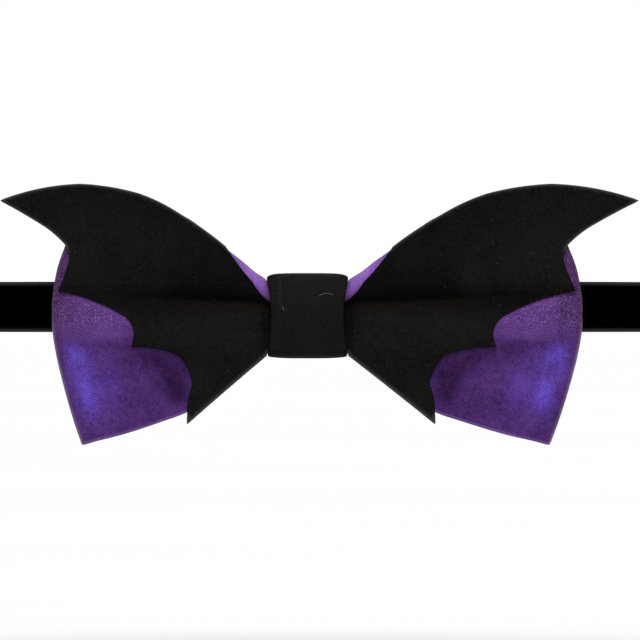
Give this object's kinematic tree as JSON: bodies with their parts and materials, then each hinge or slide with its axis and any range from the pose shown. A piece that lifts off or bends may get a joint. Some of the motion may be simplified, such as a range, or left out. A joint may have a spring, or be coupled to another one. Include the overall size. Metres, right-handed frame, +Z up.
{
  "type": "batwing bow tie",
  "caption": "Pre-tied bow tie with a folded satin bow, a scalloped black bat wing over each half, a black knot band and a whole neck strap with a plain clasp.",
  "frame": {"origin": "centre of the neck loop at half the height of the strap", "axes": "+Z up along the neck, +X to the wearer's left along the bow, and the bow faces -Y"},
  "size_m": [0.152, 0.1211, 0.0538],
  "materials": {
    "satin": "purple satin with fine diagonal lines and a blue sheen",
    "black_cloth": "matte black felted cloth with a cut edge",
    "black_ribbed_cloth": "matte black cloth with fine ribs",
    "black_tape": "black woven tape",
    "black_plastic": "matte black"
  },
  "bodies": {
    "root": {"satin_bow": "satin", "batwing_left": "black_cloth", "batwing_right": "black_cloth", "knot_band": "black_ribbed_cloth", "neck_strap": "black_tape", "clasp": "black_plastic"}
  },
  "joints": []
}
